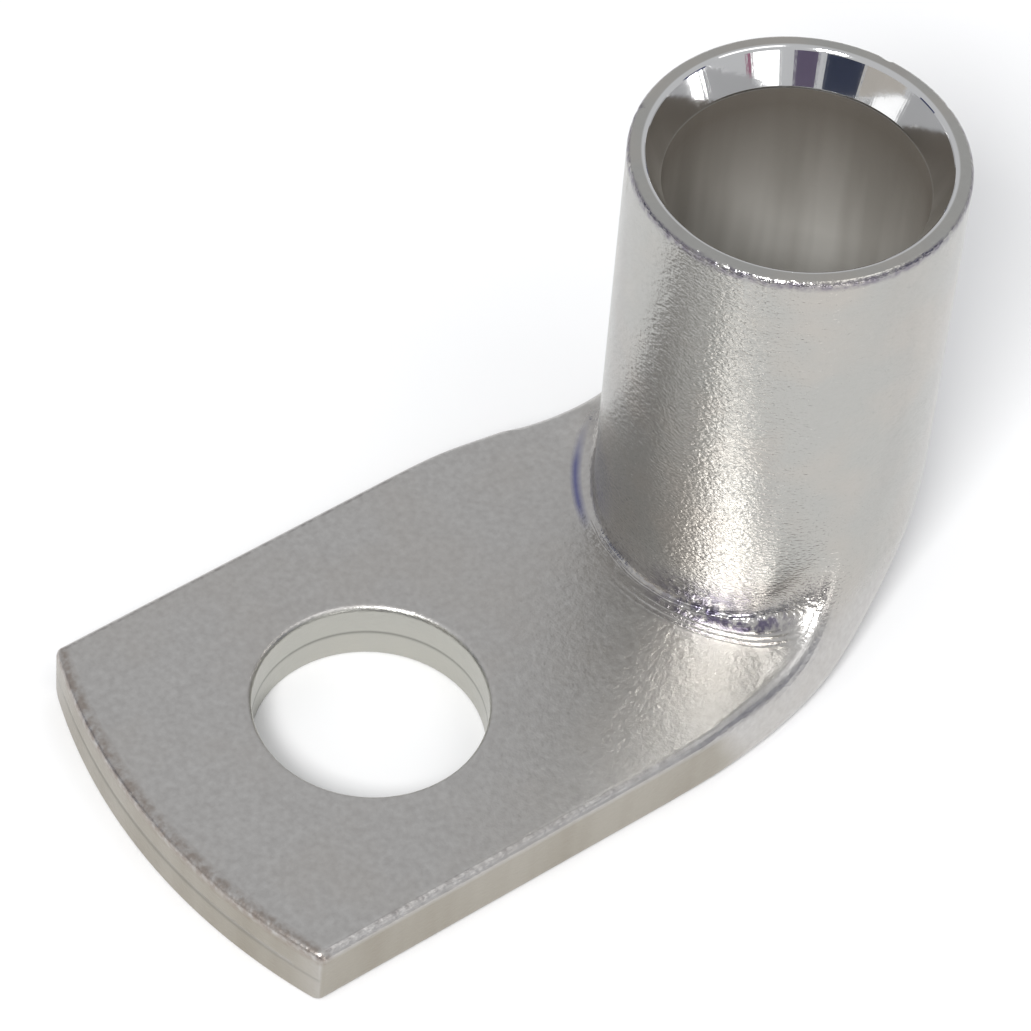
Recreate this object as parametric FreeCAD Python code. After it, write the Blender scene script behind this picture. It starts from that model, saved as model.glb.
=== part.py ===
import FreeCAD, Part
import math
import os

# A right-angle cable lug for one cable and one bolt. It is a length of tube: one end stays round and
# takes the cable, the other is pressed flat, punched for the bolt and folded square to the barrel.
# The origin is on the bolt hole's axis at the palm's contact face. +X points from the hole to the
# barrel, +Z up the barrel. Sizes are in millimetres.

# Tube
barrel_diameter = 14.9
tube_wall = 1.6
lug_height = 25.3
barrel_offset = 21.6

# Palm
bolt_hole_diameter = 10.5
palm_width = 20.6
palm_edge_radius = 0.5
palm_end_reach = 11.75
palm_end_bow = 1.9
palm_parallel_reach = 7.4
shear_roll = 0.2

# Fold
crease_radius = 0.6
crease_fade = 2.6
heel_radius = 9.8
shoulder_fullness = 4.8

# Mouth of the barrel
mouth_land = 0.75
mouth_depth = 1.7

# Pressed-shut tube bore
pinch_gap = 0.2
pinch_run = 1.5
pinch_stages = 12

# Smoothness of the skins, and the spline runs of their lines: straight down the barrel, bent, flat
turn_roundness = 0.36
straight_runs = 2
bent_runs = 3
flat_runs = 2
flat_spans = 12
edge_spans = 2
joint_tolerance = 0.001

# Worked out from the sizes above
barrel_radius = barrel_diameter / 2
bore_radius = barrel_radius - tube_wall
palm_thickness = 2 * tube_wall
palm_middle = palm_thickness / 2
hole_radius = bolt_hole_diameter / 2
fold_top = palm_thickness + heel_radius
line_runs = straight_runs + bent_runs + flat_runs
bend_start = straight_runs / line_runs
bend_end = (straight_runs + bent_runs) / line_runs


class BarSection:
    """The flattened tube from outside, a flat bar with rolled edges. Share 0 is its top, 1 its bottom."""

    def __init__(self, half_width, low, high, edge):
        self.half_width = half_width
        self.low = low
        self.high = high
        self.edge = edge
        self.run_flat = half_width - edge
        self.run_corner = edge * math.pi / 2
        self.run_total = 2 * self.run_flat + 2 * self.run_corner + high - low - 2 * edge

    def point(self, share):
        way = share * self.run_total
        if way > self.run_total / 2:
            y, z = self.upper_point(self.run_total - way)
            return y, self.low + self.high - z
        return self.upper_point(way)

    def upper_point(self, way):
        if way <= self.run_flat:
            return way, self.high
        turned = (way - self.run_flat) / self.edge
        if turned <= math.pi / 2:
            y = self.run_flat + self.edge * math.sin(turned)
            return y, self.high - self.edge + self.edge * math.cos(turned)
        return self.half_width, self.high - self.edge - (way - self.run_flat - self.run_corner)

    def strips(self):
        """Shares between which the section is smooth, and the spans of each strip, all the way round."""
        corner = self.run_flat / self.run_total
        side = (self.run_flat + self.run_corner) / self.run_total
        right = [(corner, side, edge_spans), (side, 1 - side, edge_spans), (1 - side, 1 - corner, edge_spans)]
        left = [(2 - last, 2 - first, spans) for first, last, spans in reversed(right)]
        return [(-corner, corner, flat_spans)] + right + [(1 - corner, 1 + corner, flat_spans)] + left

    def patches(self, surface):
        return smooth_patches(surface)


class SlitSection:
    """The flattened tube from inside: two walls pressed together, with a thin lens of air between them."""

    def __init__(self, half_width, middle, gap):
        self.half_width = half_width
        self.middle = middle
        self.gap = gap

    def point(self, share):
        across = 1 - abs(2 * share - 1)
        rise = self.gap / 2 * (1 - across ** 2)
        return across * self.half_width, self.middle + math.copysign(rise, 0.5 - share)

    def strips(self):
        return [(-0.5, 0.5, flat_spans), (0.5, 1.5, flat_spans)]

    def patches(self, surface):
        return staged_patches(surface)


class Skin:
    """One face of the tube wall, round at the top and flat at the palm."""

    def __init__(self, radius, section, front_turn, rear_turn, flat_x, top):
        self.radius = radius
        self.section = section
        self.front_turn = front_turn
        self.rear_turn = rear_turn
        self.flat_x = flat_x
        self.top = top

    def turn_size(self, angle):
        """Size of the fold's turn: tight at the crease in front, wide at the sides and the heel."""
        facing = max(math.cos(angle), 0.0) ** crease_fade
        return 1 / (facing / self.front_turn + 1 / self.rear_turn)

    def spread(self, round_x, round_y, flat_y, x):
        """Half width reached at x on the way from the round foot to the flat palm."""
        done = min(max((round_x - x) / (round_x - self.flat_x), 0.0), 1.0)
        return round_y + (flat_y - round_y) * (1 - (1 - done) ** shoulder_fullness)

    def line(self, share):
        """Control points of the line down the barrel, round the fold and out along the palm."""
        share = (share + 1) % 2 - 1
        side = math.copysign(1, share)
        angle = math.pi * abs(share)
        flat_y, z = self.section.point(abs(share))
        x = barrel_offset - self.radius * math.cos(angle)
        y = self.radius * math.sin(angle)
        turn = self.turn_size(angle)
        start = z + turn
        near = turn_roundness * turn
        heights = [self.top + (start - self.top) * step / 3 for step in range(4)]
        heights.append(z + near)
        points = [FreeCAD.Vector(x, side * y, height) for height in heights]
        out = [x - near, x - turn]
        out.append(out[1] + (self.flat_x - out[1]) / 3)
        points += [FreeCAD.Vector(at, side * self.spread(x, y, flat_y, at), z) for at in out]
        last = [out[1] + (self.flat_x - out[1]) * 2 / 3, self.flat_x]
        points += [FreeCAD.Vector(at, side * flat_y, z) for at in last]
        return points


def strip_slope(skin, first, last, share):
    """How fast a line's control points move with its share, taken inside the strip."""
    nudge = (last - first) / 1000
    if share - nudge < first:
        shares, weights = (share, share + nudge, share + 2 * nudge), (-3, 4, -1)
    elif share + nudge > last:
        shares, weights = (share - 2 * nudge, share - nudge, share), (1, -4, 3)
    else:
        shares, weights = (share - nudge, share, share + nudge), (-1, 0, 1)
    lines = zip(*[skin.line(at) for at in shares])
    return [(a * weights[0] + b * weights[1] + c * weights[2]) / (2 * nudge) for a, b, c in lines]


def strip_surface(skin, first, last, spans):
    """A strip of the skin between two of its lines, cubic across and along."""
    step = (last - first) / spans
    poles = [skin.line(first)]
    for span in range(spans):
        for share, lean in ((first + step * span, 1), (first + step * (span + 1), -1)):
            slope = strip_slope(skin, first, last, share)
            poles.append([at + rate * (lean * step / 3) for at, rate in zip(skin.line(share), slope)])
    poles.append(skin.line(last))
    surface = Part.BSplineSurface()
    surface.buildFromPolesMultsKnots(
        poles,
        [4] + [2] * (spans - 1) + [4],
        [4] + [1] * (line_runs - 1) + [4],
        [first + step * index for index in range(spans + 1)],
        [index / line_runs for index in range(line_runs + 1)],
        False,
        False,
        3,
        3,
    )
    return surface


def patch_outline(surface, start, end):
    """The wire round a strip between two places along it."""
    first, last, *_ = surface.bounds()
    edges = [surface.vIso(place).toShape() for place in (start, end)]
    edges += [surface.uIso(share).toShape(start, end) for share in (first, last)]
    return Part.Wire(Part.sortEdges(edges)[0])


def straight_patch(surface, wall):
    """The part of a strip above its bend, on a wall that runs straight down the barrel."""
    face = Part.Face(wall, patch_outline(surface, 0, bend_start))
    face.validate()
    return face


def smooth_patch(surface, start, end):
    """A strip's own surface between two places along it."""
    first, last, *_ = surface.bounds()
    patch = surface.copy()
    patch.segment(first, last, start, end)
    return patch.toShape()


def smooth_patches(surface):
    """A strip of the outer face: true cylinder, smooth bend, and true plane where it is flat on the palm."""
    barrel = Part.Cylinder()
    barrel.Center = FreeCAD.Vector(barrel_offset, 0, 0)
    barrel.Radius = barrel_radius
    patches = [straight_patch(surface, barrel), smooth_patch(surface, bend_start, bend_end)]
    first, last, *_ = surface.bounds()
    if abs(surface.value(first, 1).z - surface.value(last, 1).z) < joint_tolerance:
        return patches + [Part.Face(patch_outline(surface, bend_end, 1))]
    return patches + [smooth_patch(surface, bend_end, 1)]


def staged_patches(surface):
    """A strip of the closing bore, which bends in short straight stages."""
    wall = Part.SurfaceOfExtrusion(surface.vIso(0), FreeCAD.Vector(0, 0, -1))
    stage = (bend_end - bend_start) / pinch_stages
    places = [bend_start + stage * count for count in range(pinch_stages + 1)] + [1]
    rings = [surface.vIso(place).toShape() for place in places]
    bend = [Part.makeRuledSurface(ring, after) for ring, after in zip(rings, rings[1:])]
    return [straight_patch(surface, wall)] + bend


def skin_solid(skin):
    """The solid inside a skin, from its round top to the end of its fold."""
    surfaces = []
    faces = []
    for first, last, spans in skin.section.strips():
        surface = strip_surface(skin, first, last, spans)
        surfaces.append(surface)
        faces += skin.section.patches(surface)
    for end in (0.0, 1.0):
        edges = [surface.vIso(end).toShape() for surface in surfaces]
        faces.append(Part.Face(Part.Wire(Part.sortEdges(edges)[0])))
    shell = Part.Shell(faces)
    shell.sewShape()
    solid = Part.Solid(shell)
    if solid.Volume < 0:
        solid.reverse()
    return solid.removeSplitter()


def outer_skin():
    section = BarSection(palm_width / 2, 0, palm_thickness, palm_edge_radius)
    return Skin(barrel_radius, section, crease_radius, heel_radius, palm_parallel_reach, fold_top)


def bore_skin(outer):
    """The tube's inner face: pressed shut where the palm starts, and one wall inside the outer face."""
    front_turn = crease_radius + tube_wall
    shut_x = barrel_offset - bore_radius - front_turn - pinch_run
    half = outer.line(0.5)
    width = outer.spread(half[0].x, half[0].y, palm_width / 2, shut_x)
    section = SlitSection(width - tube_wall, palm_middle, pinch_gap)
    return Skin(bore_radius, section, front_turn, heel_radius - tube_wall, shut_x, fold_top)


def palm_blank():
    """The flat palm, with its rolled side edges, out to the sheared bow of its end."""
    length = palm_parallel_reach + palm_end_reach
    half = palm_width / 2
    bar = Part.makeBox(length, palm_width, palm_thickness, FreeCAD.Vector(-palm_end_reach, -half, 0))
    long_edges = [edge for edge in bar.Edges if abs(edge.BoundBox.XLength - length) < joint_tolerance]
    bar = bar.makeFillet(palm_edge_radius, long_edges)
    bow_radius = (half ** 2 + palm_end_bow ** 2) / (2 * palm_end_bow)
    centre = FreeCAD.Vector(bow_radius - palm_end_reach, 0, -palm_thickness)
    bar = bar.common(Part.makeCylinder(bow_radius, 3 * palm_thickness, centre))
    sheared = [face for face in bar.Faces if isinstance(face.Surface, Part.Cylinder)]
    end = max(sheared, key=lambda face: face.Surface.Radius)
    return bar.makeFillet(shear_roll, end.Edges)


def barrel_post(radius, foot, height):
    """A round post on the barrel's axis."""
    return Part.makeCylinder(radius, height, FreeCAD.Vector(barrel_offset, 0, foot))


def blank():
    """The flattened and folded tube, as if it were solid."""
    barrel = barrel_post(barrel_radius, fold_top, lug_height - fold_top)
    return skin_solid(outer_skin()).fuse([palm_blank(), barrel], joint_tolerance)


def bore():
    """The round bore with its flared mouth, and below it the space between the closing walls."""
    mouth_foot = FreeCAD.Vector(barrel_offset, 0, lug_height - mouth_depth)
    mouth = Part.makeCone(bore_radius, barrel_radius - mouth_land, mouth_depth, mouth_foot)
    round_bore = barrel_post(bore_radius, fold_top, lug_height - fold_top).fuse(mouth)
    return skin_solid(bore_skin(outer_skin())).fuse([round_bore], joint_tolerance)


def cable_lug():
    hole = Part.makeCylinder(hole_radius, 3 * palm_thickness, FreeCAD.Vector(0, 0, -palm_thickness))
    return blank().cut(bore()).cut(hole).Solids[0]


os.makedirs("parts", exist_ok=True)
cable_lug().exportStep("parts/cable_lug.step")
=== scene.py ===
import math

import bpy
from mathutils import Matrix, Vector


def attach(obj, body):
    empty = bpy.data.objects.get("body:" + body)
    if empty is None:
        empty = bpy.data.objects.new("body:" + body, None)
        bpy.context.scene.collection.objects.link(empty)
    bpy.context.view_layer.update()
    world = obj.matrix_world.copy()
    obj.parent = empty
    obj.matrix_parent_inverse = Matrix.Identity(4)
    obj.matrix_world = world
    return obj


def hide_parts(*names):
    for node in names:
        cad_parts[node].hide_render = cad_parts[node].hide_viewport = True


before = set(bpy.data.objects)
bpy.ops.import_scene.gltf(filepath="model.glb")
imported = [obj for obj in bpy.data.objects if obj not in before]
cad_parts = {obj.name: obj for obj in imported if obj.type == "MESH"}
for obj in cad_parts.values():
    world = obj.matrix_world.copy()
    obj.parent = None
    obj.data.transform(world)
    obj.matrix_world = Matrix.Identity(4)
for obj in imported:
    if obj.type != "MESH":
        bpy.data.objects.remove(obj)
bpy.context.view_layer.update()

# The lug. One length of seamless copper tube, tin-plated all over. One end stays round for the cable; the
# other is pressed flat, punched for the bolt, sheared to a shallow bow and folded square to the barrel.
# It is plated last, so one silver-grey skin runs over the barrel, the fold and the palm.
MM = 0.001
lug_sizes = {
    "Barrel Radius": 7.45 * MM,
    "Wall": 1.6 * MM,
    "Height": 25.3 * MM,
    "Barrel Offset": 21.6 * MM,
    "Palm Width": 20.6 * MM,
    "Palm Edge": 0.5 * MM,
    "Shoulder Round": 1.05 * MM,
    "End Reach": 11.75 * MM,
    "End Bow": 1.9 * MM,
    "Parallel Reach": 7.4 * MM,
    "Hole Radius": 5.25 * MM,
    "Crease Radius": 0.6 * MM,
    "Heel Radius": 9.8 * MM,
    "Pinch Gap": 0.2 * MM,
    "Pinch Run": 1.5 * MM,
    "Mouth Land": 0.75 * MM,
    "Mouth Depth": 1.7 * MM,
    "Rim Edge": 0.3 * MM,
    "Shear Roll": 0.3 * MM,
    "Punch Roll": 0.3 * MM,
    "Seam": 0.12 * MM,
    "Crease Marks": 0.035 * MM,
    "Rim Nicks": 0.07 * MM,
}
crease_fade = 2.6
shoulder_fullness = 4.8
turn_roundness = 0.36

# How finely the faces are divided: columns go round the tube, rows run along it
fold_runs = 7
fold_rows = 112
palm_rows = 60
columns_flat = 132
columns_edge = 6
columns_side = 8
columns = 2 * columns_flat + 4 * columns_edge + 2 * columns_side + 1
hole_columns = 193


class Amount:
    """A number that the nodes of a tree work out at each point, written as plain arithmetic."""

    def __init__(self, tree, socket):
        self.tree = tree
        self.socket = socket

    def math(self, operation, *terms):
        node = self.tree.nodes.new("ShaderNodeMath")
        node.operation = operation
        for slot, term in zip(node.inputs, terms):
            if isinstance(term, Amount):
                self.tree.links.new(term.socket, slot)
            else:
                slot.default_value = term
        return Amount(self.tree, node.outputs[0])

    def __add__(self, other):
        return self.math("ADD", self, other)

    def __radd__(self, other):
        return self.math("ADD", other, self)

    def __sub__(self, other):
        return self.math("SUBTRACT", self, other)

    def __rsub__(self, other):
        return self.math("SUBTRACT", other, self)

    def __mul__(self, other):
        return self.math("MULTIPLY", self, other)

    def __rmul__(self, other):
        return self.math("MULTIPLY", other, self)

    def __truediv__(self, other):
        return self.math("DIVIDE", self, other)

    def __rtruediv__(self, other):
        return self.math("DIVIDE", other, self)

    def __pow__(self, other):
        return self.math("POWER", self, other)

    def __abs__(self):
        return self.math("ABSOLUTE", self)

    def sin(self):
        return self.math("SINE", self)

    def cos(self):
        return self.math("COSINE", self)

    def sign(self):
        return self.math("SIGN", self)

    def root(self):
        return self.math("SQRT", self)

    def least(self, other):
        return self.math("MINIMUM", self, other)

    def most(self, other):
        return self.math("MAXIMUM", self, other)

    def ramp(self, start, end):
        """0 up to start, 1 from end on, and a straight rise between."""
        return ((self - start) / (end - start)).most(0).least(1)

    def band(self, start, full, fading, end):
        """1 from full to fading, 0 outside start and end, with straight slopes between."""
        return self.ramp(start, full) * (1 - self.ramp(fading, end))


def formula(name, terms, results, work):
    """A node group that works out numbers from numbers, and a function that sets it to work in a tree."""
    group = bpy.data.node_groups.new(name, "GeometryNodeTree")
    for term in terms:
        group.interface.new_socket(term, in_out="INPUT", socket_type="NodeSocketFloat")
    for result in results:
        group.interface.new_socket(result, in_out="OUTPUT", socket_type="NodeSocketFloat")
    given = group.nodes.new("NodeGroupInput")
    finish = group.nodes.new("NodeGroupOutput")
    worked_out = work(*[Amount(group, given.outputs[term]) for term in terms])
    for result, amount in zip(results, worked_out):
        group.links.new(amount.socket, finish.inputs[result])

    def at_work(*amounts):
        tree = next(amount.tree for amount in amounts if isinstance(amount, Amount))
        node = tree.nodes.new("GeometryNodeGroup")
        node.node_tree = group
        for term, amount in zip(terms, amounts):
            if isinstance(amount, Amount):
                tree.links.new(amount.socket, node.inputs[term])
            else:
                node.inputs[term].default_value = amount
        out = [Amount(tree, node.outputs[result]) for result in results]
        return out[0] if len(out) == 1 else out

    return at_work


def new_tree(name):
    tree = bpy.data.node_groups.new(name, "GeometryNodeTree")
    tree.interface.new_socket("Geometry", in_out="OUTPUT", socket_type="NodeSocketGeometry")
    return tree


def node_with(tree, kind, settings=None, **inputs):
    """A node with its settings and its inputs by name, as plain values, amounts or sockets."""
    node = tree.nodes.new(kind)
    for name, value in (settings or {}).items():
        setattr(node, name, value)
    for name, value in inputs.items():
        slot = node.inputs[name.replace("_", " ")]
        if isinstance(value, Amount):
            tree.links.new(value.socket, slot)
        elif isinstance(value, bpy.types.NodeSocket):
            tree.links.new(value, slot)
        else:
            slot.default_value = value
    return node


def parts_of(tree, place):
    parts = node_with(tree, "ShaderNodeSeparateXYZ", Vector=place).outputs
    return [Amount(tree, part) for part in parts]


def grid_of(tree, columns, rows):
    """A grid of points with two running numbers, each from 0 to 1: one across, one along."""
    grid = node_with(tree, "GeometryNodeMeshGrid", Size_X=1, Size_Y=1, Vertices_X=columns, Vertices_Y=rows)
    kept = tree.nodes.new("GeometryNodeCaptureAttribute")
    kept.capture_items.new("VECTOR", "Place")
    tree.links.new(grid.outputs["Mesh"], kept.inputs["Geometry"])
    tree.links.new(tree.nodes.new("GeometryNodeInputPosition").outputs[0], kept.inputs["Place"])
    across, along, _ = parts_of(tree, kept.outputs["Place"])
    return kept.outputs["Geometry"], across + 0.5, along + 0.5


def placed(tree, mesh, x, y, z):
    spot = node_with(tree, "ShaderNodeCombineXYZ", X=x, Y=y, Z=z)
    return node_with(tree, "GeometryNodeSetPosition", Geometry=mesh, Position=spot.outputs[0]).outputs[0]


def pushed(tree, mesh, amount):
    """The mesh with each point moved out along its normal."""
    normal = tree.nodes.new("GeometryNodeInputNormal").outputs[0]
    shift = node_with(tree, "ShaderNodeVectorMath", {"operation": "SCALE"}, Vector=normal, Scale=amount)
    return node_with(tree, "GeometryNodeSetPosition", Geometry=mesh, Offset=shift.outputs[0]).outputs[0]


def closed(tree, mesh):
    """The mesh with its meeting points joined into one."""
    return node_with(tree, "GeometryNodeMergeByDistance", Geometry=mesh, Distance=0.002 * MM).outputs[0]


def flipped(tree, mesh):
    return node_with(tree, "GeometryNodeFlipFaces", Mesh=mesh).outputs[0]


def section_runs(half, low, high, edge):
    """Lengths of the flat, of one rolled edge and of the whole half of the flattened section."""
    flat = half - edge
    corner = edge * (math.pi / 2)
    return flat, corner, flat * 2 + corner * 2 + (high - low) - edge * 2


def part_way(number, start, end):
    return (number.ramp(start, end),)


ramp = formula("Part way", ["Number", "Start", "End"], ["Share"], part_way)


def column_share_rule(across, half, low, high, edge):
    flat, corner, total = section_runs(half, low, high, edge)
    flat = flat / total
    corner = corner / total
    counts = [columns_flat, columns_edge, columns_side, columns_edge] * 2
    widths = [flat * 2, corner, 1 - (flat + corner) * 2, corner] * 2
    share = flat * -1
    reached = 0
    for count, width in zip(counts, widths):
        share = share + width * ramp(across, reached / sum(counts), (reached + count) / sum(counts))
        reached += count
    return (share,)


# Share of the way round for a column: crease 0, side 0.5, heel 1, with the columns closer at the rolled edges
column_share = formula(
    "Column share", ["Across", "Half Width", "Low", "High", "Edge"], ["Share"], column_share_rule
)


def flattened_rule(share, half, low, high, edge):
    flat, corner, total = section_runs(half, low, high, edge)
    upper = 1 - abs(1 - abs(share))
    way = total / 2 - abs(upper * total - total / 2)
    turned = ((way - flat) / edge).most(0).least(math.pi / 2)
    y = way.least(flat) + edge * turned.sin()
    rise = (high - low) / 2 - edge * (1 - turned.cos()) - (way - flat - corner).most(0)
    over = (0.5 - upper).sign()
    side = (share * math.pi).sin().sign()
    return y * side, (high + low) / 2 + rise * over, turned.sin() * side, turned.cos() * over


# Point of the flattened section at a share, and the direction that its face looks in
flattened = formula(
    "Flattened section",
    ["Share", "Half Width", "Low", "High", "Edge"],
    ["Y", "Z", "Facing Y", "Facing Z"],
    flattened_rule,
)


def hump_rule(distance):
    far = abs(distance)
    return (((2 - far).most(0) ** 3 - (1 - far).most(0) ** 3 * 4) / 6,)


# Weight that a control point has at a distance along its line, counted in control points
hump = formula("Hump", ["Distance"], ["Weight"], hump_rule)


def spread_rule(at, x, y, flat_x, flat_y):
    done = ((x - at) / (x - flat_x)).most(0).least(1)
    return ((flat_y - y) * (1 - (1 - done) ** shoulder_fullness),)


# How far a line has moved outwards at x, on its way from the round foot to the flat palm
spread = formula("Spread", ["At", "X", "Y", "Flat X", "Flat Y"], ["Moved"], spread_rule)


def tube_skin_rule(share, step, radius, half, low, high, edge, front_turn, rear_turn, flat_x, top, offset):
    angle = share * math.pi
    x = offset - radius * angle.cos()
    y = radius * angle.sin()
    flat_y, z, _, _ = flattened(share, half, low, high, edge)
    turn = 1 / (angle.cos().most(0) ** crease_fade / front_turn + 1 / rear_turn)
    near = turn * turn_roundness
    rise = top - z
    third = (rise - turn) / 3
    ahead = (x - turn - flat_x) / 3
    run = turn + ahead
    weights = [hump(step - place) for place in range(-1, fold_runs + 2)]
    z = z + (rise + third * 4) * weights[0] + (rise - third * 0.5) * weights[1]
    z = z + (rise - third * 2) * weights[2] + turn * weights[3] + near * weights[4]
    near_wide, turn_wide, run_wide = (spread(x - back, x, y, flat_x, flat_y) for back in (near, turn, run))
    wide = near_wide * weights[5] + turn_wide * weights[6] + run_wide * (weights[7] + weights[9])
    wide = wide + ((flat_y - y) * 1.5 - run_wide * 0.5) * weights[8]
    x = x - near * weights[5] - turn * weights[6] - run * weights[7]
    x = x - (run + ahead * 1.5) * weights[8] - (run + ahead * 6) * weights[9]
    return x, y + wide, z


# Place on one face of the tube wall: straight down the barrel, round the fold and out along the palm
tube_skin = formula(
    "Tube skin",
    [
        "Share",
        "Step",
        "Radius",
        "Half Width",
        "Low",
        "High",
        "Edge",
        "Front Turn",
        "Rear Turn",
        "Flat X",
        "Top",
        "Barrel Offset",
    ],
    ["X", "Y", "Z"],
    tube_skin_rule,
)


def profile(along, radius, height, legs):
    """Radius and height along a turned profile. A leg is straight, or bends from one heading to another."""
    share = sum(leg["rows"] for leg in legs)
    reached = 0
    for leg in legs:
        done = along.ramp(reached / share, (reached + leg["rows"]) / share)
        start = leg["heading"]
        if "bend" in leg:
            heading = done * (leg["to"] - start) + start
            radius = radius + leg["bend"] * (heading.cos() - math.cos(start))
            height = height + leg["bend"] * (heading.sin() - math.sin(start))
        else:
            radius = radius - leg["length"] * done * math.sin(start)
            height = height + leg["length"] * done * math.cos(start)
        reached += leg["rows"]
    return radius, height


def noise(tree, place, scale, detail=2.0, seed=0.0):
    four = {"noise_dimensions": "4D"}
    node = node_with(tree, "ShaderNodeTexNoise", four, Vector=place, W=seed, Scale=scale, Detail=detail)
    return Amount(tree, node.outputs[0])


def outer_fold(tree, size):
    """Outer face of the fold, with the fine lines that the folding die leaves along the crease."""
    mesh, across, along = grid_of(tree, columns, fold_rows)
    share = column_share(across, *size["Bar"])
    step = along * fold_runs
    turns = (size["Crease Radius"], size["Heel Radius"])

    # The palm's rolled edge grows rounder on its way up into the barrel
    rounder = size["Palm Edge"] + size["Shoulder Round"] * (1 - step.ramp(3.4, fold_runs)) ** 2
    shoulder = (size["Half"], 0, size["Thickness"], rounder)
    ends = (size["Parallel Reach"], *size["Axis"])
    skin = tube_skin(share, step, size["Barrel Radius"], *shoulder, *turns, *ends)
    outer = closed(tree, placed(tree, mesh, *skin))

    # Beside the crease's two ends it is eased into the barrel
    easing_rounds = 90
    spot = tree.nodes.new("GeometryNodeInputPosition").outputs[0]
    beside = 1 - abs(abs(share) - 0.40).ramp(0.05, 0.11)
    eased = tree.nodes.new("GeometryNodeBlurAttribute")
    eased.data_type = "FLOAT_VECTOR"
    eased.inputs["Iterations"].default_value = easing_rounds
    tree.links.new(spot, eased.inputs["Value"])
    tree.links.new((beside * step.band(2.2, 3.0, 3.3, 4.6)).socket, eased.inputs["Weight"])
    outer = node_with(tree, "GeometryNodeSetPosition", Geometry=outer, Position=eased.outputs[0]).outputs[0]

    # The marks hug the barrel's foot and run out on the far side
    mark_pitch = 20
    wander = noise(tree, spot, 900, 3.0, 2.0) * 0.5
    from_crease = wander + (step - 4.3) + abs(share).ramp(0.12, 0.4) * 1.2
    lines = (from_crease * mark_pitch).cos() * 0.5 - 0.5
    front = (1 - abs(share).ramp(0.26, 0.34)) * (1 - share.ramp(0.06, 0.16))
    marks = (1 - abs(from_crease) / 0.5).most(0) * front * lines
    return pushed(tree, outer, marks * size["Crease Marks"])


def inner_fold(tree, size):
    """Inner face of the fold, where the two walls close on each other."""
    wall = size["Wall"]
    gap = size["Pinch Gap"]
    mesh, across, along = grid_of(tree, columns, fold_rows // 2)
    share = column_share(across, *size["Bar"])
    turns = (size["Crease Radius"] + wall, size["Heel Radius"] - wall)
    ends = (size["Barrel Offset"] - size["Bore"] - turns[0] - size["Pinch Run"], *size["Axis"])
    slit = (size["Half"] - wall * 1.05, wall - gap / 2, wall + gap / 2, gap / 2)
    x, y, z = tube_skin(share, along * fold_runs, size["Bore"], *slit, *turns, *ends)
    shut = 1 - along.ramp(0.98, 1.0)
    return flipped(tree, placed(tree, mesh, x, y, wall + (z - wall) * shut))


def barrel_wall(tree, size):
    """Barrel, rim, flared mouth and bore, turned in one profile, with small nicks on the rim's outer edge."""
    top, offset = size["Axis"]
    land, depth, lip = size["Mouth Land"], size["Mouth Depth"], size["Rim Edge"]
    flare = size["Wall"] - land
    slope = (flare * flare + depth * depth).root()
    steep = math.pi - math.atan2(lug_sizes["Wall"] - lug_sizes["Mouth Land"], lug_sizes["Mouth Depth"])
    trim = math.tan((steep - math.pi / 2) / 2)
    foot = math.tan((math.pi - steep) / 2)
    legs = [
        {"rows": 8, "heading": 0, "length": size["Height"] - top - lip},
        {"rows": 8, "heading": 0, "to": math.pi / 2, "bend": lip},
        {"rows": 5, "heading": math.pi / 2, "length": land - lip - lip * trim},
        {"rows": 5, "heading": math.pi / 2, "to": steep, "bend": lip},
        {"rows": 10, "heading": steep, "length": slope - lip * trim - lip * foot},
        {"rows": 3, "heading": steep, "to": math.pi, "bend": lip},
        {"rows": 12, "heading": math.pi, "length": size["Height"] - depth - top - lip * foot},
    ]
    mesh, across, along = grid_of(tree, columns, sum(leg["rows"] for leg in legs) + 1)
    angle = column_share(across, *size["Bar"]) * math.pi
    out, height = profile(along, size["Barrel Radius"], top, legs)
    rim = flipped(tree, placed(tree, mesh, offset - out * angle.cos(), out * angle.sin(), height))
    spot = tree.nodes.new("GeometryNodeInputPosition").outputs[0]
    dents = ((noise(tree, spot, 1100, 2.0, 7.0) - 0.6).most(0) * 8).least(1)
    outmost = (out - size["Barrel Radius"] + lip * 2).ramp(0, lip)
    uppermost = (height - size["Height"] + lip * 2).ramp(0, lip)
    return pushed(tree, rim, dents * uppermost * outmost * size["Rim Nicks"] * -1)


def flat_palm(tree, size):
    """Palm, from the end of the fold to the sheared bow, with its end closed on the middle line."""
    flat_share, rolled_share = 0.6, 0.76
    low_roll = 0.4
    wall, half, thickness = size["Wall"], size["Half"], size["Thickness"]
    mesh, across, along = grid_of(tree, columns, palm_rows)
    share = column_share(across, *size["Bar"])
    y, z, face_y, face_z = flattened(share, *size["Bar"])
    bow_radius = (half * half + size["End Bow"] * size["End Bow"]) / (size["End Bow"] * 2)
    closing = 1 - along.ramp(rolled_share, 1.0)
    roll = size["Shear Roll"] * ((1 + low_roll) / 2 + (z / thickness - 0.5) * (1 - low_roll) * closing)
    turned = along.ramp(flat_share, rolled_share) * (math.pi / 2)
    inset = roll * (1 - turned.cos())
    z = wall + (z - face_z * inset - wall) * closing
    y = y - face_y * inset
    core = y.most(wall - half).least(half - wall)
    y = core + (y - core) * closing
    end_x = bow_radius - size["End Reach"] - (bow_radius * bow_radius - y * y).root()
    x = size["Parallel Reach"]
    x = x + (end_x + roll - x) * along.ramp(0, flat_share) - roll * turned.sin()
    seam = (1 - closing) ** 14 * (size["Seam"] / 2)
    return placed(tree, mesh, x + seam, y, z)


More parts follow.
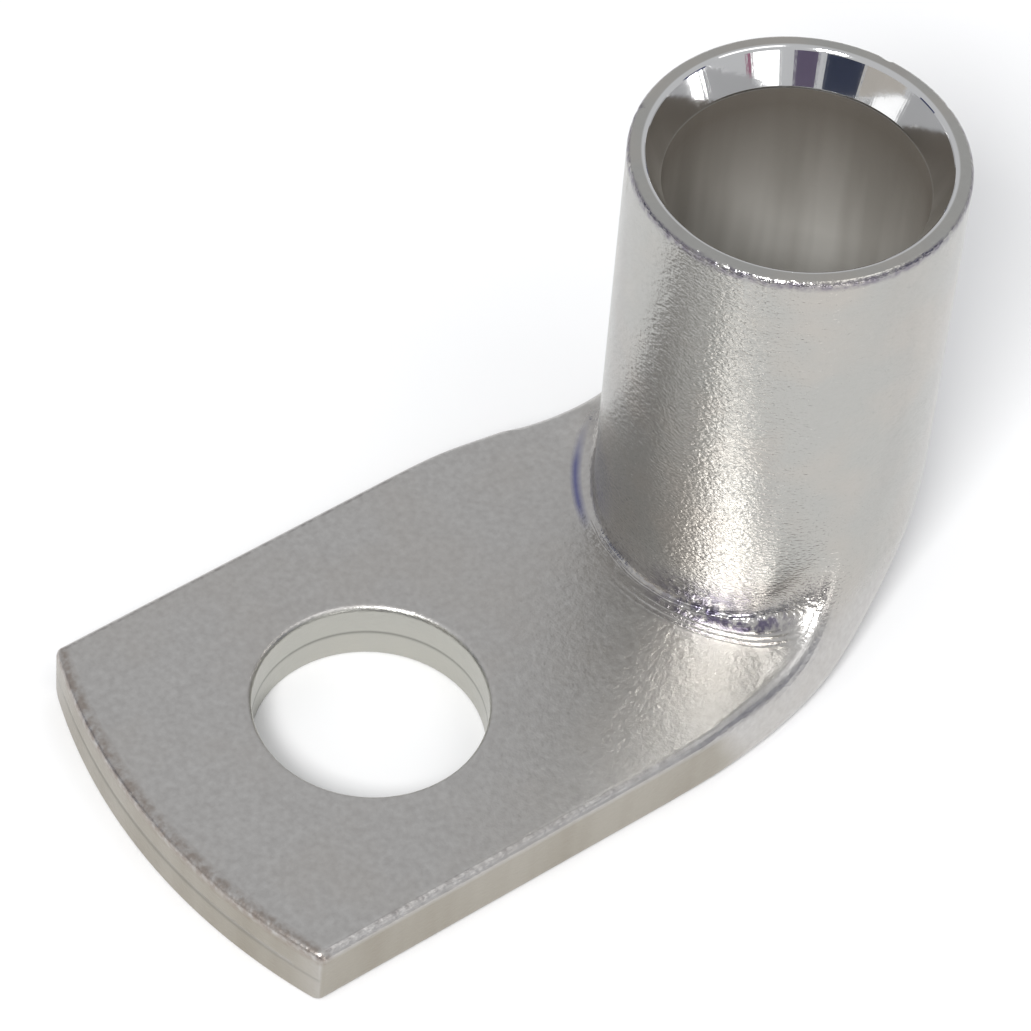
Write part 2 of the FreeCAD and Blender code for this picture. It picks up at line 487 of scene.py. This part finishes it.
def hole_punch(tree, size):
    """What the punch takes out: rolled in at the top, with the seam of the two walls, broken out below."""
    wall, thickness, roll = size["Wall"], size["Thickness"], size["Punch Roll"]
    burr = roll * 0.5
    clear = 1 * MM
    legs = [
        {"rows": 1, "heading": -math.pi / 2, "length": size["Hole Radius"] + roll},
        {"rows": 1, "heading": math.pi, "length": clear},
        {"rows": 8, "heading": math.pi / 2, "to": math.pi, "bend": roll},
        {"rows": 14, "heading": math.pi, "length": thickness - roll - burr},
        {"rows": 6, "heading": math.pi, "to": math.pi * 1.5, "bend": burr},
        {"rows": 1, "heading": math.pi, "length": clear},
        {"rows": 1, "heading": math.pi / 2, "length": size["Hole Radius"] + burr},
    ]
    mesh, across, along = grid_of(tree, hole_columns, sum(leg["rows"] for leg in legs) + 1)
    out, height = profile(along, 0, thickness + clear, legs)
    out = out + (1 - abs(height - wall) / size["Seam"]).most(0) * (size["Seam"] / 3)
    angle = across * (math.pi * -2)
    punch = closed(tree, placed(tree, mesh, out * angle.cos(), out * angle.sin(), height))
    return punch, (size["Hole Radius"] + roll, size["Hole Radius"] + burr)


def crisp_edges(tree, mesh, rings):
    """The mesh shaded smooth, but for its sharp edges and the rings round the hole."""
    bent = tree.nodes.new("GeometryNodeInputMeshEdgeAngle").outputs[0]
    crisp = Amount(tree, bent).math("GREATER_THAN", math.radians(40))
    x, y, _ = parts_of(tree, tree.nodes.new("GeometryNodeInputPosition").outputs[0])
    from_hole = (x * x + y * y).root()
    for ring in rings:
        crisp = crisp.most(abs(from_hole - ring).math("LESS_THAN", 0.01 * MM))
    smooth = node_with(tree, "GeometryNodeSetShadeSmooth", Geometry=mesh, Shade_Smooth=True).outputs[0]
    at_edges = {"domain": "EDGE"}
    edges = node_with(
        tree, "GeometryNodeSetShadeSmooth", at_edges, Geometry=smooth, Selection=crisp, Shade_Smooth=False
    )
    return edges.outputs[0]


def lug_tree(plate):
    """The whole lug: its four faces joined into one closed skin, and the hole punched through it."""
    tree = new_tree("Cable lug")
    for name, length in lug_sizes.items():
        socket = tree.interface.new_socket(name, in_out="INPUT", socket_type="NodeSocketFloat")
        socket.subtype = "DISTANCE"
        socket.default_value = length
    given = tree.nodes.new("NodeGroupInput")
    size = {name: Amount(tree, given.outputs[name]) for name in lug_sizes}
    size["Thickness"] = size["Wall"] * 2
    size["Half"] = size["Palm Width"] / 2
    size["Bore"] = size["Barrel Radius"] - size["Wall"]
    # The flattened tube as a bar (half width, low, high, edge), and where the fold starts (height, offset)
    size["Bar"] = (size["Half"], 0, size["Thickness"], size["Palm Edge"])
    size["Axis"] = (size["Thickness"] + size["Heel Radius"], size["Barrel Offset"])

    whole = tree.nodes.new("GeometryNodeJoinGeometry")
    for face in (outer_fold, inner_fold, barrel_wall, flat_palm):
        tree.links.new(face(tree, size), whole.inputs[0])
    punch, rings = hole_punch(tree, size)
    cut = tree.nodes.new("GeometryNodeMeshBoolean")
    cut.operation = "DIFFERENCE"
    cut.solver = "EXACT"
    tree.links.new(closed(tree, whole.outputs[0]), cut.inputs["Mesh 1"])
    tree.links.new(punch, cut.inputs["Mesh 2"])
    shaded = crisp_edges(tree, cut.outputs["Mesh"], rings)
    real = node_with(tree, "GeometryNodeRealizeInstances", Geometry=shaded)
    skinned = node_with(tree, "GeometryNodeSetMaterial", Geometry=real.outputs[0], Material=plate)
    finish = tree.nodes.new("NodeGroupOutput")
    tree.links.new(skinned.outputs[0], finish.inputs[0])
    return tree


def solid_from(tree, name, sizes):
    """Runs a tree with its sizes set and keeps the result as a plain mesh."""
    carrier = bpy.data.objects.new(name + " maker", bpy.data.meshes.new(name + " maker"))
    bpy.context.scene.collection.objects.link(carrier)
    made = carrier.modifiers.new(name, "NODES")
    made.node_group = tree
    for socket in tree.interface.items_tree:
        if socket.in_out == "INPUT":
            made[socket.identifier] = sizes[socket.name]
    result = bpy.data.meshes.new_from_object(carrier.evaluated_get(bpy.context.evaluated_depsgraph_get()))
    bpy.data.objects.remove(carrier)
    piece = bpy.data.objects.new(name, result)
    bpy.context.scene.collection.objects.link(piece)
    return piece


def blended(tree, share, first, second):
    """One colour at share 0, another at share 1; either may be the result of an earlier blend."""
    mix = tree.nodes.new("ShaderNodeMixRGB")
    tree.links.new(share.socket, mix.inputs["Fac"])
    for name, colour in (("Color1", first), ("Color2", second)):
        if isinstance(colour, bpy.types.NodeSocket):
            tree.links.new(colour, mix.inputs[name])
        else:
            mix.inputs[name].default_value = (*colour, 1)
    return mix.outputs[0]


# Base colours of the bright metal, each where the plate looks different
matt_palm, matt_palm_light = (0.485, 0.47, 0.455), (0.58, 0.568, 0.552)
drawn_barrel, warm_cloud, draw_mark = (0.43, 0.428, 0.405), (0.51, 0.47, 0.425), (0.40, 0.385, 0.37)
rolled_side, side_streak = (0.39, 0.365, 0.32), (0.28, 0.25, 0.20)
punched_wall, torn_wall, closed_seam = (0.47, 0.465, 0.43), (0.48, 0.47, 0.43), (0.20, 0.20, 0.18)
# The bore's colours: painted shade at its top, painted light at its foot; the streaks are the plate's own
painted_shade_bore_top, painted_light_bore_foot, bore_streak = (0.29, 0.26, 0.225), (0.70, 0.685, 0.645), (0.22, 0.20, 0.17)
# Painted shade for the rim's rounded outer edge
reamed_cone, rim_painted_shade = (0.72, 0.72, 0.72), (0.17, 0.15, 0.20)
# Painted blue reflection for the crease's far side
# Painted shade for the crease's near side
crease_painted_shade, crease_painted_reflection = (0.10, 0.08, 0.16), (0.10, 0.11, 0.30)
worn_end, side_edge_dark = (0.24, 0.18, 0.14), (0.18, 0.16, 0.16)


def tin_plate():
    """Tin over pressed copper: matt on the palm, brighter and dimpled on the barrel, burnished by the
    reamer in the mouth and by the folding die along the crease."""
    material = bpy.data.materials.new("Tin plate")
    material.use_nodes = True
    tree = material.node_tree
    shader = tree.nodes["Principled BSDF"]
    place = tree.nodes.new("ShaderNodeTexCoord").outputs["Object"]

    # All lengths below are in millimetres
    mm_sizes = {name: length / MM for name, length in lug_sizes.items()}
    x, y, z = (part / MM for part in parts_of(tree, place))
    ahead = mm_sizes["Barrel Offset"] - x
    from_axis = (ahead * ahead + y * y).root()
    from_hole = (x * x + y * y).root()
    facing = (ahead / from_axis).most(0)
    radius = mm_sizes["Barrel Radius"]
    hole = mm_sizes["Hole Radius"]
    thickness = mm_sizes["Wall"] * 2
    half = mm_sizes["Palm Width"] / 2
    rise = mm_sizes["End Bow"]
    height = mm_sizes["Height"]
    mouth = height - mm_sizes["Mouth Depth"]

    # Where the surface lies: barrel, bore, mouth and rim
    barrel = z.ramp(thickness + 0.3, thickness + 2.5)
    inside = (1 - from_axis.ramp(radius - 0.8, radius - 0.6)) * z.ramp(thickness + 2, thickness + 4)
    reamed = z.ramp(mouth - 0.06, mouth) * (1 - from_axis.ramp(radius - 0.66, radius - 0.58))
    bore = inside * (1 - reamed)
    depth = (mouth - z).ramp(1, 10)
    sawn = z.ramp(height - 0.12, height - 0.04)
    # The rim's rounded outer edge, which gets painted shade
    lip = z.band(height - 0.55, height - 0.3, height - 0.1, height - 0.03)
    lip = lip * from_axis.ramp(radius - 0.3, radius - 0.15)

    # The crease, as a distance from its foot on the palm, which hugs the barrel
    turn = 1 / (facing ** crease_fade / mm_sizes["Crease Radius"] + 1 / mm_sizes["Heel Radius"])
    from_crease = from_axis - radius - turn * 1.4 / (turn + 0.85)
    low = 1 - z.ramp(thickness + 1.0, thickness + 2.0)
    front = facing.ramp(0.42, 0.56) * low
    burnish = from_crease.band(-1.0, -0.6, 0.0, 0.3) * front
    die_lines = from_crease.band(-0.1, 0.1, 0.6, 0.9) * front * (1 - y.ramp(-3, 0))
    # Painted shade: a dark band at the foot of the crease on the near side, where the fold lies in shade
    crease_shade_mask = from_crease.band(-0.9, -0.6, -0.1, 0.15) * front * (1 - y.ramp(-4.5, -1))
    # Painted reflection: a dark blue line along the foot of the crease on the far side
    crease_reflection_mask = from_crease.band(-0.3, 0.0, 0.05, 0.3) * low * y.band(2.5, 4, 6, 7.5)

    # The palm's rolled sides, sheared end and punched hole, and the seam between its two walls
    bow = x + mm_sizes["End Reach"] - y * y / ((half * half + rise * rise) / rise)
    flank = abs(y).band(9.85, 9.95, 10.0, 10.15) * (1 - x.ramp(8, 12)) * z.ramp(2.8, 3.0)
    sheared = (1 - bow.ramp(0.35, 0.7)) * z.ramp(2.5, 2.9)
    side = abs(y).ramp(10.1, 10.25) * (1 - x.ramp(12, 16))
    side = side.most(1 - bow.ramp(0.02, 0.12)) * (1 - z.ramp(2.7, 3.0))
    punched = 1 - from_hole.ramp(hole + 0.06, hole + 0.14)
    seam = punched.most(1 - bow.ramp(0.0, 0.1)) * (1 - (abs(z - thickness / 2 + 0.1) / 0.14).least(1))

    def uneven(scale, detail, seed, upright=1.0):
        """Spots, a number to the metre. Under 1, upright draws them out up the barrel; over 1, round it."""
        way = node_with(tree, "ShaderNodeMapping", Vector=place)
        way.inputs["Scale"].default_value = (1, 1, upright)
        return noise(tree, way.outputs[0], scale, detail, seed)

    # Unevenness of the plate, from broad to fine
    cloud = uneven(240, 2.0, 1.0)
    streaks = uneven(520, 2.0, 11.0, upright=0.12)
    specks = (uneven(2100, 0.0, 8.0) - 0.76).most(0) * 8
    ragged = uneven(3000, 3.0, 9.0)
    mottle = uneven(3200, 4.0, 2.0)
    peel = uneven(4200, 2.0, 3.0, upright=1.9)
    grain = uneven(8200, 2.0, 5.0)

    rough = 0.34 - barrel * 0.14 + (mottle - 0.5) * 0.12 + (streaks - 0.5) * barrel * 0.12
    rough = rough + inside * 0.3 - burnish * 0.14 - die_lines * 0.1
    rough = rough * (1 - reamed) + reamed * 0.07
    tree.links.new(rough.most(0.05).socket, shader.inputs["Roughness"])

    # Each layer of colour lies over the ones before it
    layers = [
        (barrel * 0.8, drawn_barrel),
        ((barrel * 0.3 + 0.2) * cloud.ramp(0.45, 0.65), warm_cloud),
        (streaks.ramp(0.52, 0.7) * barrel * 0.35, draw_mark),
        (side, rolled_side),
        (side * streaks.ramp(0.4, 0.7) * 0.5, side_streak),
        (punched, punched_wall),
        (punched * streaks.ramp(0.45, 0.65) * (1 - z.ramp(1.2, 1.6)) * 0.6, torn_wall),
        (seam * 0.75, closed_seam),
        # Painted light in the bore: dark at the top, lighter towards the foot, in place of the light that
        # falls inside it
        (bore, blended(tree, depth, painted_shade_bore_top, painted_light_bore_foot)),
        (bore * streaks.ramp(0.42, 0.62) * 0.35, bore_streak),
        (reamed, reamed_cone),
        # Painted shade on the rim's rounded outer edge, in ragged patches
        (lip * ragged.ramp(0.3, 0.6) * 0.75, rim_painted_shade),
        # Painted shade in the crease on the near side, in ragged patches
        (crease_shade_mask * ragged.ramp(0.42, 0.58) * 0.85, crease_painted_shade),
        # Painted blue reflection along the far side of the crease
        (crease_reflection_mask * 0.8, crease_painted_reflection),
        (sheared * ragged.ramp(0.30, 0.60) * 0.6, worn_end),
        # A dark ragged line along the top of the rolled sides
        (flank * ragged.ramp(0.35, 0.65) * 0.55, side_edge_dark),
    ]
    tone = blended(tree, mottle.ramp(0.3, 0.7), matt_palm, matt_palm_light)
    for share, colour in layers:
        tone = blended(tree, share, tone, colour)
    tree.links.new(tone, shader.inputs["Base Color"])
    # The bore's metal is made less metallic deeper down, which lightens its foot further
    deep_dulling = bore * (depth * 0.5 + 0.45)
    tree.links.new((1 - deep_dulling).socket, shader.inputs["Metallic"])

    # Heights in millimetres: dimples and grain, then ripples in the mouth and marks along the crease
    line_pitch = 0.3
    relief = (mottle - 0.5) * 0.010 + (peel - 0.5) * (barrel * 0.034 + 0.022)
    relief = relief + (grain - 0.5) * (barrel * 0.007 + 0.007) + specks * 0.008
    relief = relief * (1 - inside * 0.85) * (1 - reamed) * (1 - sawn * 0.4)
    relief = relief + (cloud - 0.5) * reamed * 0.04 + (mottle - 0.5) * reamed * 0.002
    relief = relief + (ragged - 0.5) * burnish * 0.05
    relief = relief + (from_crease * (2 * math.pi / line_pitch) + ragged * 1.5).sin() * die_lines * 0.014
    bump = node_with(tree, "ShaderNodeBump", Height=relief, Strength=1.0, Distance=MM)
    tree.links.new(bump.outputs[0], shader.inputs["Normal"])
    return material


lug = solid_from(lug_tree(tin_plate()), "Lug", lug_sizes)
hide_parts("cable_lug")
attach(lug, "root")

# The studio. A white table under the lug in an even pale room. The key lamp stands by the camera, so that the
# barrel and the palm mirror it into each other, and a weaker fill stands to its right. Cards round the table,
# which the camera can't see, give the burnished mouth something to mirror.
reach = 1.2
corners = [(-reach, -reach, 0), (reach, -reach, 0), (reach, reach, 0), (-reach, reach, 0)]
table = bpy.data.meshes.new("Table")
table.from_pydata(corners, [], [(0, 1, 2, 3)])
floor = bpy.data.objects.new("Table", table)
bpy.context.scene.collection.objects.link(floor)
paper = bpy.data.materials.new("White paper")
paper.use_nodes = True
paper.node_tree.nodes["Principled BSDF"].inputs["Base Color"].default_value = (0.95, 0.95, 0.95, 1)
paper.node_tree.nodes["Principled BSDF"].inputs["Roughness"].default_value = 0.9
table.materials.append(paper)

room = bpy.data.worlds.new("Room")
room.use_nodes = True
room.node_tree.nodes["Background"].inputs["Color"].default_value = (0.99, 1.0, 1.02, 1)
room.node_tree.nodes["Background"].inputs["Strength"].default_value = 0.64
bpy.context.scene.world = room

view_azimuth = math.radians(-40.221)
view_elevation = math.radians(49.434)
view_roll = math.radians(4.895)
view_distance = 239.581 * MM
view_target = Vector((9.023, 1.904, 8.0)) * MM
sensor_width = 36.0
frame_pixels = 1031
focal_pixels = 5405.7


def lamp(name, azimuth, elevation, distance, width, depth, watts):
    """A soft box that faces the lug. Azimuth 0 is in front of it, at -Y, and grows towards +X."""
    light = bpy.data.lights.new(name, "AREA")
    light.shape = "RECTANGLE"
    light.size = width
    light.size_y = depth
    light.energy = watts
    box = bpy.data.objects.new(name, light)
    turn = math.radians(azimuth)
    lift = math.radians(elevation)
    back = Vector((math.sin(turn) * math.cos(lift), -math.cos(turn) * math.cos(lift), math.sin(lift)))
    box.location = view_target + back * distance
    box.rotation_euler = back.to_track_quat("Z", "Y").to_euler()
    bpy.context.scene.collection.objects.link(box)


card_distance = 0.25
card_folds = 8
low_card = 0.09
high_card = 0.15


def card(name, first, last, tall, colour, glow=0.0):
    """A curved card on the table between two azimuths, which glows or stays dark."""
    turns = [math.radians(first + (last - first) * fold / card_folds) for fold in range(card_folds + 1)]
    ring = [(card_distance * math.sin(turn), -card_distance * math.cos(turn)) for turn in turns]
    points = [(x, y, z) for x, y in ring for z in (0.0, tall)]
    sheet = bpy.data.meshes.new(name)
    sheet.from_pydata(points, [], [(2 * n, 2 * n + 2, 2 * n + 3, 2 * n + 1) for n in range(card_folds)])
    stand = bpy.data.objects.new(name, sheet)
    stand.visible_camera = False
    bpy.context.scene.collection.objects.link(stand)
    paint = bpy.data.materials.new(name)
    paint.use_nodes = True
    shader = paint.node_tree.nodes["Principled BSDF"]
    shader.inputs["Base Color"].default_value = (*colour, 1)
    shader.inputs["Emission Color"].default_value = (*colour, 1)
    shader.inputs["Emission Strength"].default_value = glow
    sheet.materials.append(paint)


lamp("Key", -55, 48, 0.6, 0.16, 0.15, 2.3)
lamp("Fill", 20, 60, 0.8, 0.35, 0.35, 0.5)

card("White card", -16, 2, low_card, (1.0, 1.0, 1.0), glow=1.6)
card("Pink strip", 3, 6, low_card, (0.35, 0.12, 0.20))
card("Plum card", -43, -27, low_card, (0.13, 0.10, 0.17))
card("Navy card", -77, -49, low_card, (0.02, 0.03, 0.07))
card("Beige card", -110, -78, low_card, (0.45, 0.42, 0.38), glow=0.3)
card("Blue card", -138, -124, high_card, (0.015, 0.025, 0.10))
card("Left card", 34, 50, high_card, (0.02, 0.03, 0.12))

camera = bpy.data.cameras.new("Camera")
camera.sensor_width = sensor_width
camera.lens = sensor_width * focal_pixels / frame_pixels
camera.clip_start = 0.01
camera.clip_end = 10
viewer = bpy.data.objects.new("Camera", camera)
right = Vector((math.cos(view_azimuth), math.sin(view_azimuth), 0))
lift = math.cos(view_elevation)
back = Vector((math.sin(view_azimuth) * lift, -math.cos(view_azimuth) * lift, math.sin(view_elevation)))
up = back.cross(right)
turned_right = right * math.cos(view_roll) + up * math.sin(view_roll)
turned_up = up * math.cos(view_roll) - right * math.sin(view_roll)
viewer.matrix_world = Matrix.Translation(view_target + back * view_distance) @ Matrix(
    (turned_right, turned_up, back)
).transposed().to_4x4()
bpy.context.scene.collection.objects.link(viewer)
bpy.context.scene.camera = viewer
bpy.context.scene.view_settings.view_transform = "Standard"
